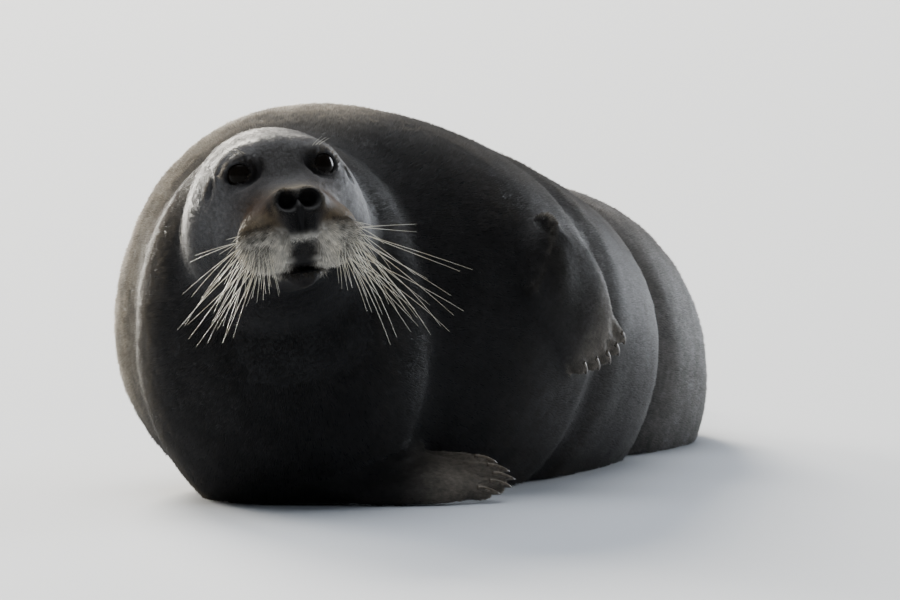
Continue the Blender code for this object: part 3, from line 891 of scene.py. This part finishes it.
# name: length, half width, triangles at most. They stand in the order of regionOf's numbers
coatRegions = {
    "coat_face": (0.0065, 0.00050, 186000),
    "coat_neck": (0.0125, 0.00085, 150000),
    "coat_chest": (0.0150, 0.00100, 150000),
    "coat_belly": (0.0150, 0.00100, 150000),
    "coat_waist": (0.0155, 0.00105, 150000),
    "coat_loin": (0.0155, 0.00105, 150000),
    "coat_hips": (0.0150, 0.00105, 150000),
    "coat_rump": (0.0140, 0.00100, 130000),
    "coat_foreflippers": (0.0085, 0.00070, 120000),
    "coat_hindflippers": (0.0080, 0.00070, 120000),
}
trunkEdges = (-0.06, 0.16, 0.38, 0.60, 0.86, 1.12)  # y where one coat ends and the next begins
handRegions = {8: ("foreLeft", "foreRight"), 9: ("hindLeft", "hindRight")}


def regionOf(points):
    # the number of the coat region that each point lies in
    y = points[:, 1]
    head = toHead(points)
    region = np.digitize(y, trunkEdges) + 1
    region[(head[:, 0] > -0.105) & (lengthOf(head) < 0.25) & (y < -0.2)] = 0
    for number, names in handRegions.items():
        for name in names:
            region[onFlipper(points, name, 0.0, 0.03) > 0.5] = number
    return region


# Where no fur grows on the head, on both its sides: middle and radii
bareSpots = (
    ((0.108, 0.0125, -0.046), (0.022, 0.0120, 0.0112)),  # nostrils
    ((0.106, 0, -0.060), (0.02, 0.006, 0.018)),
    ((0.085, 0, -0.108), (0.03, 0.022, 0.006)),  # mouth
    (eyeSet["at"], (eyeSet["radius"] + 0.0012,) * 3),
    (eyeSet["at"] + unit(np.array(eyeSet["gaze"])) * eyeSet["radius"], (0.013, 0.0178, 0.0136)),  # lids
)


def bareSkin(points):
    # True on the bare spots and where the seal lies on the floor
    mirrored = folded(toHead(points))
    bare = points[:, 2] < floorLift + 0.004
    for middle, radii in bareSpots:
        bare |= lengthOf((mirrored - middle) / radii) < 1
    return bare


def readArray(items, name, width, kind=float):
    values = np.empty(len(items) * width, kind)
    items.foreach_get(name, values)
    return values.reshape(-1, width)


def skinTriangles(mesh):
    mesh.calc_loop_triangles()
    corners, normals = readArray(mesh.vertices, "co", 3), readArray(mesh.vertex_normals, "vector", 3)
    return corners, readArray(mesh.loop_triangles, "vertices", 3, np.int32), normals


def rootsOn(corners, faces, normals, chosen, count, random):
    # evenly spread places on the chosen triangles, with the skin's normal there
    faces = faces[chosen]
    a, b, c = (corners[faces[:, i]] for i in range(3))
    area = lengthOf(np.cross(b - a, c - a)) / 2
    steps = np.cumsum(area) / area.sum() * count
    number = np.floor(steps + random.random()).astype(int)
    each = np.diff(np.concatenate([[0], number]))
    owner = np.repeat(np.arange(len(faces)), each)
    first, second = random.random(len(owner)), random.random(len(owner))
    beyond = first + second > 1
    first[beyond], second[beyond] = 1 - first[beyond], 1 - second[beyond]
    weights = np.stack([1 - first - second, first, second], 1)[..., None]
    points = (corners[faces[owner]] * weights).sum(1)
    tilt = (normals[faces[owner]] * weights).sum(1)
    return points, unit(tilt)


# The unwrap's own sizes: the head's ball and the rest within its edges, a flipper's patch in metres
bakeLayout = {"ball": 0.49, "edge": 0.99, "flipperLength": 0.32, "flipperWidth": 0.24}


def unwrapped(points, region):
    # where each root lies on an unwrap of the skin: rings round the trunk, a flattened ball for the
    # head, and the two sides of each flipper next to each other
    if region == 0:
        away = unit(toHead(points) - (-0.06, 0, -0.05))
        reach = np.sqrt(np.clip((1 - away[:, 0]) / 2, 0, 1))
        return 0.5 + bakeLayout["ball"] * reach[:, None] * unit(away[:, 1:])
    if region in handRegions:
        length, width = bakeLayout["flipperLength"], bakeLayout["flipperWidth"]
        place = np.zeros((len(points), 2))
        nearest = np.full(len(points), np.inf)
        for number, name in enumerate(handRegions[region]):
            origin, axes = flipperFrame(flippers[name])
            local = (points - origin) @ axes.T
            distance = lengthOf(local - (0.12, 0, 0))
            closer = distance < nearest
            nearest[closer] = distance[closer]
            across = np.clip((local[:, 1] + width / 2) / width, 0, 1) * 0.5
            across = np.where(local[:, 2] > 0, across, 0.5 + across)
            along = (np.clip(local[:, 0] / length, 0, 1) + number) / 2
            place[closer] = np.stack([across, along], 1)[closer]
        return place * bakeLayout["edge"]
    y = points[:, 1]
    angle = np.arctan2(points[:, 2] - trunkZ(y), points[:, 0] - trunkX(y))
    along = (y - y.min()) / max(np.ptp(y), 1e-6)
    return np.stack([angle / (2 * math.pi) + 0.5, along], 1) * bakeLayout["edge"]


def padGrowth(points):
    # 1 on the whisker pads' lower half, where the fur is a longer pale fringe
    local = toHead(points)
    return onPad(local, -0.05, 0.15) * smoothStep(local[:, 2], -0.065, -0.090)


def nearNose(points):
    # 1 round the nose and on the pads' upper halves, where the fur is shortest
    return smoothStep(lengthOf(points - fromHead(noseAt)), 0.075, 0.045)


def around(value, spread):
    # from 0..1 to a factor about 1
    return 1 - spread / 2 + spread * value


def makeTufts(name, region, skin, random):
    length, halfWidth, mostTriangles = coatRegions[name]
    corners, faces, normals, regions, bare = skin
    chosen = (regions == region) & ~bare
    blades = tuftShape["blades"]
    roots, up = rootsOn(corners, faces, normals, chosen, mostTriangles // (2 * len(blades)), random)
    along = lieOfCoat(roots, up)
    aside = np.cross(up, along)
    count = len(roots)
    clump = softNoise(roots, length * 1.6, 7)
    scatter = tuftShape["scatter"]
    growth = around(clump, tuftShape["clumping"]) * around(random.random(count), scatter["length"])
    turn = (random.random(count) - 0.5) * scatter["turn"]
    rise = tuftShape["lift"] * around(random.random(count), scatter["rise"])
    if region == 0:
        fringe = padGrowth(roots)
        growth *= (1 + 1.5 * fringe) * (1 - 0.45 * nearNose(roots) * (1 - fringe))
        rise *= 0.6 + 0.6 * fringe
    streak = softNoise(roots - along * (roots * along).sum(1, keepdims=True) * 0.85, 0.012, 5)
    tone = coatTone(roots) * (0.55 + 0.50 * random.random(count) + 0.40 * streak)[:, None]
    points, shades = [], []
    for offset, bladeTurn, bladeLength in blades:
        angle = (turn + bladeTurn + (random.random(count) - 0.5) * scatter["bladeTurn"])[:, None]
        heading = along * np.cos(angle) + aside * np.sin(angle)
        across = np.cross(up, heading)
        reach = (length * bladeLength * growth)[:, None]
        start = roots + aside * (offset * halfWidth * 1.6) - up * tuftShape["sunk"]
        tip = start + heading * reach + up * reach * rise[:, None]
        middle = start + (tip - start) * tuftShape["widest"] - up * halfWidth * tuftShape["ridge"]
        points += [start, middle - across * halfWidth, tip, middle + across * halfWidth]
        # each blade darker at its root, partly as painted shade deep in the coat, and paler at its tip
        shades += [tone * shade for shade in tuftShape["shades"]]
    perTuft = len(points)
    points = np.stack(points, 1).reshape(-1, 3)
    points[:, 2] = np.maximum(points[:, 2], tuftShape["floorClear"])
    mesh = tuftMesh(name, points, count, perTuft)
    addShades(mesh, np.stack(shades, 1).reshape(-1, 3))
    addBakeMap(mesh, unwrapped(roots, region), perTuft)
    return mesh


def tuftMesh(name, points, count, perTuft):
    # two triangles for each blade's four corners, set from arrays because there are so many
    pattern = []
    for first in range(0, perTuft, 4):
        pattern += [(first, first + 1, first + 2), (first, first + 2, first + 3)]
    faces = np.array(pattern)[None] + (np.arange(count) * perTuft)[:, None, None]
    mesh = bpy.data.meshes.new(name)
    mesh.vertices.add(len(points))
    mesh.vertices.foreach_set("co", (points + shift).astype(np.float32).ravel())
    mesh.loops.add(faces.size)
    mesh.loops.foreach_set("vertex_index", faces.astype(np.int32).ravel())
    mesh.polygons.add(faces.size // 3)
    mesh.polygons.foreach_set("loop_start", np.arange(0, faces.size, 3, dtype=np.int32))
    mesh.update(calc_edges=True)
    return mesh


def addShades(mesh, shades):
    colours = np.ones((len(shades), 4), np.float32)
    colours[:, :3] = shades
    layer = mesh.attributes.new("coatColour", "FLOAT_COLOR", "POINT")
    layer.data.foreach_set("color", colours.ravel())


def addBakeMap(mesh, places, perTuft):
    # every tuft is a small patch of its own at its root's place
    patch = tuftShape["patch"]
    blade = np.array([(0.5, 0.0), (0.0, 0.4), (0.5, 1.0), (1.0, 0.4)])
    inPatch = np.tile(blade, (perTuft // 4, 1))
    perCorner = (places[:, None, :] * (1 - patch) + inPatch[None] * patch).reshape(-1, 2)
    vertexOf = readArray(mesh.loops, "vertex_index", 1, np.int32).ravel()
    layer = mesh.uv_layers.new(name="OFBake")
    layer.data.foreach_set("uv", perCorner[vertexOf].astype(np.float32).ravel())


# Eyes
def makeEye(side):
    x, y, z = eyeSet["at"]
    ball = bmesh.new()
    bmesh.ops.create_uvsphere(ball, u_segments=40, v_segments=28, radius=eyeSet["radius"] - 0.0002)
    for vert in ball.verts:
        outward = smoothStep(vert.co.z / eyeSet["radius"], 0.45, 1.0)
        vert.co *= 1 + eyeSet["cornea"] / eyeSet["radius"] * outward
    gx, gy, gz = eyeSet["gaze"]
    gaze = Vector(np.array((gx, gy * side, gz)) @ headTurn)
    turn = Vector((0, 0, 1)).rotation_difference(gaze).to_matrix().to_4x4()
    place = Matrix.Translation(fromHead((x, side * y, z)) + shift)
    bmesh.ops.transform(ball, matrix=place @ turn, verts=ball.verts)
    return meshOf(ball, bpy.data.meshes.new("eyeball"))


# Claws
clawShape = {"rooted": 0.62, "lift": 0.004, "hook": 0.005, "narrow": 0.78, "rings": 8, "sides": 10}


def clawPoints(flipper, knuckle, tip):
    # rings of one claw, root to point, hooked a little downwards
    length, radius = flipper["size"]["claw"]
    origin, axes = flipperFrame(flipper)
    along = unit((np.array(tip) - knuckle) @ axes)
    side = unit(np.cross(axes[2], along))
    upward = np.cross(along, side)
    root = origin + np.array(tip) @ axes + upward * clawShape["lift"]
    root = root - along * length * clawShape["rooted"]
    rings = []
    for share in np.linspace(0, 1, clawShape["rings"]):
        width = radius * (1 - share**1.6) ** 0.6 * 0.95 + 0.0003
        middle = root + along * length * share - upward * clawShape["hook"] * share**2
        for angle in np.arange(clawShape["sides"]) * 2 * math.pi / clawShape["sides"]:
            sideways, upwards = math.cos(angle) * clawShape["narrow"], math.sin(angle)
            rings.append(middle + width * (side * sideways + upward * upwards))
    return np.array(rings)


def makeClaws(flipper):
    shape = bmesh.new()
    sides = clawShape["sides"]
    for knuckle, tip in digits(flipper["size"]):
        verts = [shape.verts.new(point + shift) for point in clawPoints(flipper, knuckle, tip)]
        rings = [verts[i : i + sides] for i in range(0, len(verts), sides)]
        for near, far in zip(rings, rings[1:]):
            for i in range(sides):
                j = (i + 1) % sides
                shape.faces.new((near[i], near[j], far[j], far[i]))
        shape.faces.new(rings[0])
        shape.faces.new(rings[-1])
    bmesh.ops.recalc_face_normals(shape, faces=shape.faces)
    return meshOf(shape, bpy.data.meshes.new("claws"))


# Whiskers
whiskerSet = {
    "rows": 7,
    "columns": 11,
    "points": 9,
    "rootRadius": 0.00048,
    "tipShare": 0.30,
    "sides": 6,
    "longest": 0.144,
    "shortest": 0.042,
    "azimuth": (4, 100),  # degrees from straight ahead at the first column, and over all of them
    "drop": (-14, 72),  # the same below level, over the rows
    "fall": (94, 62, 14),  # degrees below level at the first column, less at the last, scatter
    "youngest": 0.14,  # share of its length that a whisker of the top row has
    "curl": 0.42,
    "sag": 0.15,
}


def skinAlong(start, direction, farthest=0.09):
    # where a ray from inside the head leaves the skin
    near, far = np.zeros(len(direction)), np.full(len(direction), farthest)
    for _ in range(24):
        middle = (near + far) / 2
        inside = skinField(start + direction * middle[:, None]) < 0
        near, far = np.where(inside, middle, near), np.where(inside, far, middle)
    return start + direction * near[:, None]


def follicles(side):
    # roots of one pad's whiskers in rows, with each one's row and column shares
    rows, columns = whiskerSet["rows"], whiskerSet["columns"]
    row, column = (grid.ravel() for grid in np.mgrid[:rows, :columns])
    rowShare, columnShare = row / (rows - 1), (column + 0.5 * (row % 2)) / columns
    azimuth, drop = (
        np.radians(start + span * share)
        for (start, span), share in ((whiskerSet["azimuth"], columnShare), (whiskerSet["drop"], rowShare))
    )
    level = np.cos(drop)
    direction = np.stack([np.cos(azimuth) * level, side * np.sin(azimuth) * level, -np.sin(drop)], 1)
    x, y, z = padSet["at"]
    start = fromHead((x, side * y, z))
    return skinAlong(start, direction @ headTurn), direction, rowShare, columnShare


def whiskerLines(random):
    # one bent line for each whisker: out of the pad, then down under its own weight
    lines = []
    shares = np.linspace(0, 1, whiskerSet["points"])[:, None]
    for side in (-1, 1):
        roots, direction, rowShare, columnShare = follicles(side)
        count = len(roots)
        reach = smoothStep(columnShare, 0.10, 0.90) * (0.84 + 0.16 * side)
        length = whiskerSet["shortest"] + (whiskerSet["longest"] - whiskerSet["shortest"]) * reach
        grown = smoothStep(rowShare + 0.32 * columnShare**2, 0.20, 0.62)
        youngest = whiskerSet["youngest"]
        length *= (youngest + (1 - youngest) * grown) * (0.70 + 0.40 * random.random(count))
        steepest, less, scatter = whiskerSet["fall"]
        fall = np.radians(steepest - less * columnShare**1.2 + scatter * (random.random(count) - 0.5))
        fall -= 0.55 * (1 - smoothStep(rowShare, 0.1, 0.6)) * columnShare
        forwards = 0.30 - 0.40 * columnShare + 0.2 * (random.random(count) - 0.5)
        heading = unit(np.stack([forwards, side * np.cos(fall), -np.sin(fall)], 1))
        start = unit(direction * 0.6 + heading * 0.4)
        curl = (random.random((count, 3)) - 0.5) * whiskerSet["curl"]
        for i in range(count):
            bend = smoothStep(shares, 0.0, 0.30)
            steps = unit(start[i] * (1 - bend) + heading[i] * bend + curl[i] * shares)
            inWorld = steps @ headTurn
            inWorld[:, 2] -= whiskerSet["sag"] * shares[:, 0] ** 1.5
            path = np.cumsum(inWorld, 0) * length[i] / whiskerSet["points"]
            lines.append(roots[i] - inWorld[0] * 0.002 + path - path[0])
    return lines


browSet = {
    "roots": ((0.006, 0.042, 0.021), (0.002, 0.046, 0.020), (0.009, 0.038, 0.022)),
    "length": 0.017,
    "thinner": 0.6,
}


def browLines(random):
    lines = []
    shares = np.linspace(0, 1, whiskerSet["points"])[:, None]
    for side in (-1, 1):
        for x, y, z in browSet["roots"]:
            away = unit(np.array((0.35, 0.55 * side, 0.55)) + (random.random(3) - 0.5) * 0.3)
            inside = np.array((-0.03, side * y * 0.8, -0.02))
            out = unit(np.array((x, side * y, z)) - inside) @ headTurn
            root = skinAlong(fromHead(inside), out[None])[0]
            bent = away + np.array((-0.5, 0.3 * side, -0.2)) * shares
            path = np.cumsum(bent @ headTurn, 0) * browSet["length"] / whiskerSet["points"]
            lines.append(root + path - path[0])
    return lines


def whiskerTree(material):
    # thickens lines into tapering bristles
    tree = bpy.data.node_groups.new("bristles", "GeometryNodeTree")
    for label, way, kind in (
        ("Lines", "INPUT", "Geometry"), ("Root radius", "INPUT", "Float"), ("Tip share", "INPUT", "Float"),
        ("Sides", "INPUT", "Int"), ("Bristles", "OUTPUT", "Geometry"),
    ):
        tree.interface.new_socket(label, in_out=way, socket_type="NodeSocket" + kind)
    entry = addNode(tree, "NodeGroupInput", (-900, 0))
    asCurves = addNode(tree, "GeometryNodeMeshToCurve", (-600, 0))
    share = addNode(tree, "GeometryNodeSplineParameter", (-900, -300))
    taper = addNode(tree, "ShaderNodeMapRange", (-700, -300), {"To Min": 1.0})
    radius = addNode(tree, "ShaderNodeMath", (-500, -300), operation="MULTIPLY")
    ring = addNode(tree, "GeometryNodeCurvePrimitiveCircle", (-600, 300), {"Radius": 1.0})
    tube = addNode(tree, "GeometryNodeCurveToMesh", (-300, 0), {"Fill Caps": True})
    smooth = addNode(tree, "GeometryNodeSetShadeSmooth", (-100, 0))
    realize = addNode(tree, "GeometryNodeRealizeInstances", (100, 0))
    finish = addNode(tree, "GeometryNodeSetMaterial", (300, 0), {"Material": material})
    leave = addNode(tree, "NodeGroupOutput", (500, 0))
    chain = (entry, asCurves, tube, smooth, realize, finish, leave)
    links = [(source, 0, target, 0) for source, target in zip(chain, chain[1:])] + [
        (share, "Factor", taper, "Value"),
        (entry, "Tip share", taper, "To Max"),
        (taper, "Result", radius, 0),
        (entry, "Root radius", radius, 1),
        (entry, "Sides", ring, "Resolution"),
        (ring, "Curve", tube, "Profile Curve"),
        (radius, "Value", tube, "Scale"),
    ]
    for source, output, target, entrance in links:
        tree.links.new(source.outputs[output], target.inputs[entrance])
    return tree


def bristleMesh(name, lines, rootRadius, tree):
    corners = np.concatenate(lines) + shift
    count = whiskerSet["points"]
    edges = [(i, i + 1) for i in range(len(corners) - 1) if (i + 1) % count]
    mesh = bpy.data.meshes.new(name + "Lines")
    mesh.from_pydata(corners.tolist(), edges, [])
    carrier = addToScene(name + "Lines", mesh)
    bristles = carrier.modifiers.new("bristles", "NODES")
    bristles.node_group = tree
    sizes = {"Root radius": rootRadius, "Tip share": whiskerSet["tipShare"], "Sides": whiskerSet["sides"]}
    for socket in tree.interface.items_tree:
        if socket.name in sizes:
            bristles[socket.identifier] = sizes[socket.name]
    graph = bpy.context.evaluated_depsgraph_get()
    made = bpy.data.meshes.new_from_object(carrier.evaluated_get(graph))
    carrier.modifiers.clear()
    bpy.data.objects.remove(carrier)
    return made


# Studio
studio = {
    "target": (0.114, 0.0, 0.221),
    "elevation": math.radians(2.45),
    "distance": 9.0,
    "farthest": 2000.0,
    "lens": 309.6,
    "sensor": 36.0,
    "floorHalf": 600.0,
    "floorColour": (0.42, 0.445, 0.48, 1),
    "skyColour": (0.76, 0.86, 1.0, 1),
    "skyStrength": 0.18,
}
# name: direction to the lamp, softness in degrees, strength, colour
lamps = {
    "lowFromBehind": ((-0.18, 0.93, 0.31), 14, 8.5, (1.0, 0.94, 0.83)),
    "leftRim": ((-0.41, 0.91, 0.08), 16, 10.5, (1.0, 0.95, 0.85)),
    "rightRim": ((0.64, 0.76, 0.18), 25, 3.2, (0.90, 0.94, 1.0)),
    "fromAbove": ((-0.12, 0.25, 0.96), 60, 3.4, (0.95, 0.97, 1.0)),
    "frontFill": ((-0.30, -0.85, 0.50), 70, 0.12, (0.92, 0.96, 1.0)),
}


def lookAlong(direction):
    return Vector(direction).to_track_quat("-Z", "Y").to_euler()


def addLamp(name, direction, softness, strength, colour):
    data = bpy.data.lights.new(name, "SUN")
    data.angle = math.radians(softness)
    data.energy = strength
    data.color = colour
    lamp = addToScene(name, data)
    lamp.location = Vector(direction) * 5
    lamp.rotation_euler = lookAlong(-Vector(direction))


def addFloor():
    mesh = bpy.data.meshes.new("studioFloor")
    half = studio["floorHalf"]
    corners = [(-half, -half, 0), (half, -half, 0), (half, half, 0), (-half, half, 0)]
    mesh.from_pydata(corners, [], [(0, 1, 2, 3)])
    looks = {"Base Color": studio["floorColour"], "Roughness": 0.9}
    mesh.materials.append(newMaterial("pale floor", looks)[0])
    floor = addToScene("studioFloor", mesh)


def addCamera():
    target = Vector(studio["target"]) + Vector(shift)
    rise = studio["elevation"]
    data = bpy.data.cameras.new("camera")
    data.lens = studio["lens"]
    data.sensor_width = studio["sensor"]
    data.clip_end = studio["farthest"]
    camera = addToScene("camera", data)
    camera.location = target + studio["distance"] * Vector((0, -math.cos(rise), math.sin(rise)))
    camera.rotation_euler = lookAlong(target - camera.location)
    bpy.context.scene.camera = camera


def addWorld():
    world = bpy.data.worlds.new("studio")
    world.use_nodes = True
    sky = world.node_tree.nodes["Background"]
    sky.inputs["Color"].default_value = studio["skyColour"]
    sky.inputs["Strength"].default_value = studio["skyStrength"]
    bpy.context.scene.world = world


# Building
fleshNodes = (
    "head", "muzzle", "lower_jaw", "neck", "chest", "belly", "loin", "hips", "tail",
    "foreflipper_left", "foreflipper_right", "hindflipper_left", "hindflipper_right",
)
random = np.random.default_rng(randomSeed)
skinCoat, fur = skinMaterial(), furMaterial()
eyeGloss, horn, bristle = (smoothMaterial(name) for name in smoothLooks)

skinMesh = makeSkin()
whiskerRoots = np.concatenate([follicles(side)[0] for side in (-1, 1)])
corners, faces, normals = skinTriangles(skinMesh)
print("skin:", len(faces), "triangles")
middles = corners[faces].mean(1)
skinData = (corners, faces, normals, regionOf(middles), bareSkin(middles))
# the skin takes the coat's tones, darker, partly as painted shade under the tufts
addShades(skinMesh, coatTone(corners) * underCoatShade)
skinMesh.vertices.foreach_set("co", (corners + shift).astype(np.float32).ravel())
skinMesh.update()
addPiece("skin", skinMesh, skinCoat, fleshNodes)

for region, name in enumerate(coatRegions):
    tufts = makeTufts(name, region, skinData, random)
    addPiece(name, tufts, fur)
    print(name + ":", len(tufts.polygons), "triangles")

for side, hand in ((1, "left"), (-1, "right")):
    addPiece("eyeball_" + hand, makeEye(side), eyeGloss, ("eye_" + hand,))

for key, flipper in flippers.items():
    limbName = key.replace("Left", "_left").replace("Right", "_right")
    clawNodes = [f"claw_{limbName}_{number}" for number in range(1, 6)]
    addPiece("claws_" + limbName, makeClaws(flipper), horn, clawNodes)

tree = whiskerTree(bristle)
whiskerMesh = bristleMesh("whiskers", whiskerLines(random), whiskerSet["rootRadius"], tree)
addPiece("whiskers", whiskerMesh, bristle)
browMesh = bristleMesh("brows", browLines(random), whiskerSet["rootRadius"] * browSet["thinner"], tree)
addPiece("brow_whiskers", browMesh, bristle)
print("eyes, claws and whiskers in place")

addFloor()
for name, lamp in lamps.items():
    addLamp(name, *lamp)
addWorld()
addCamera()
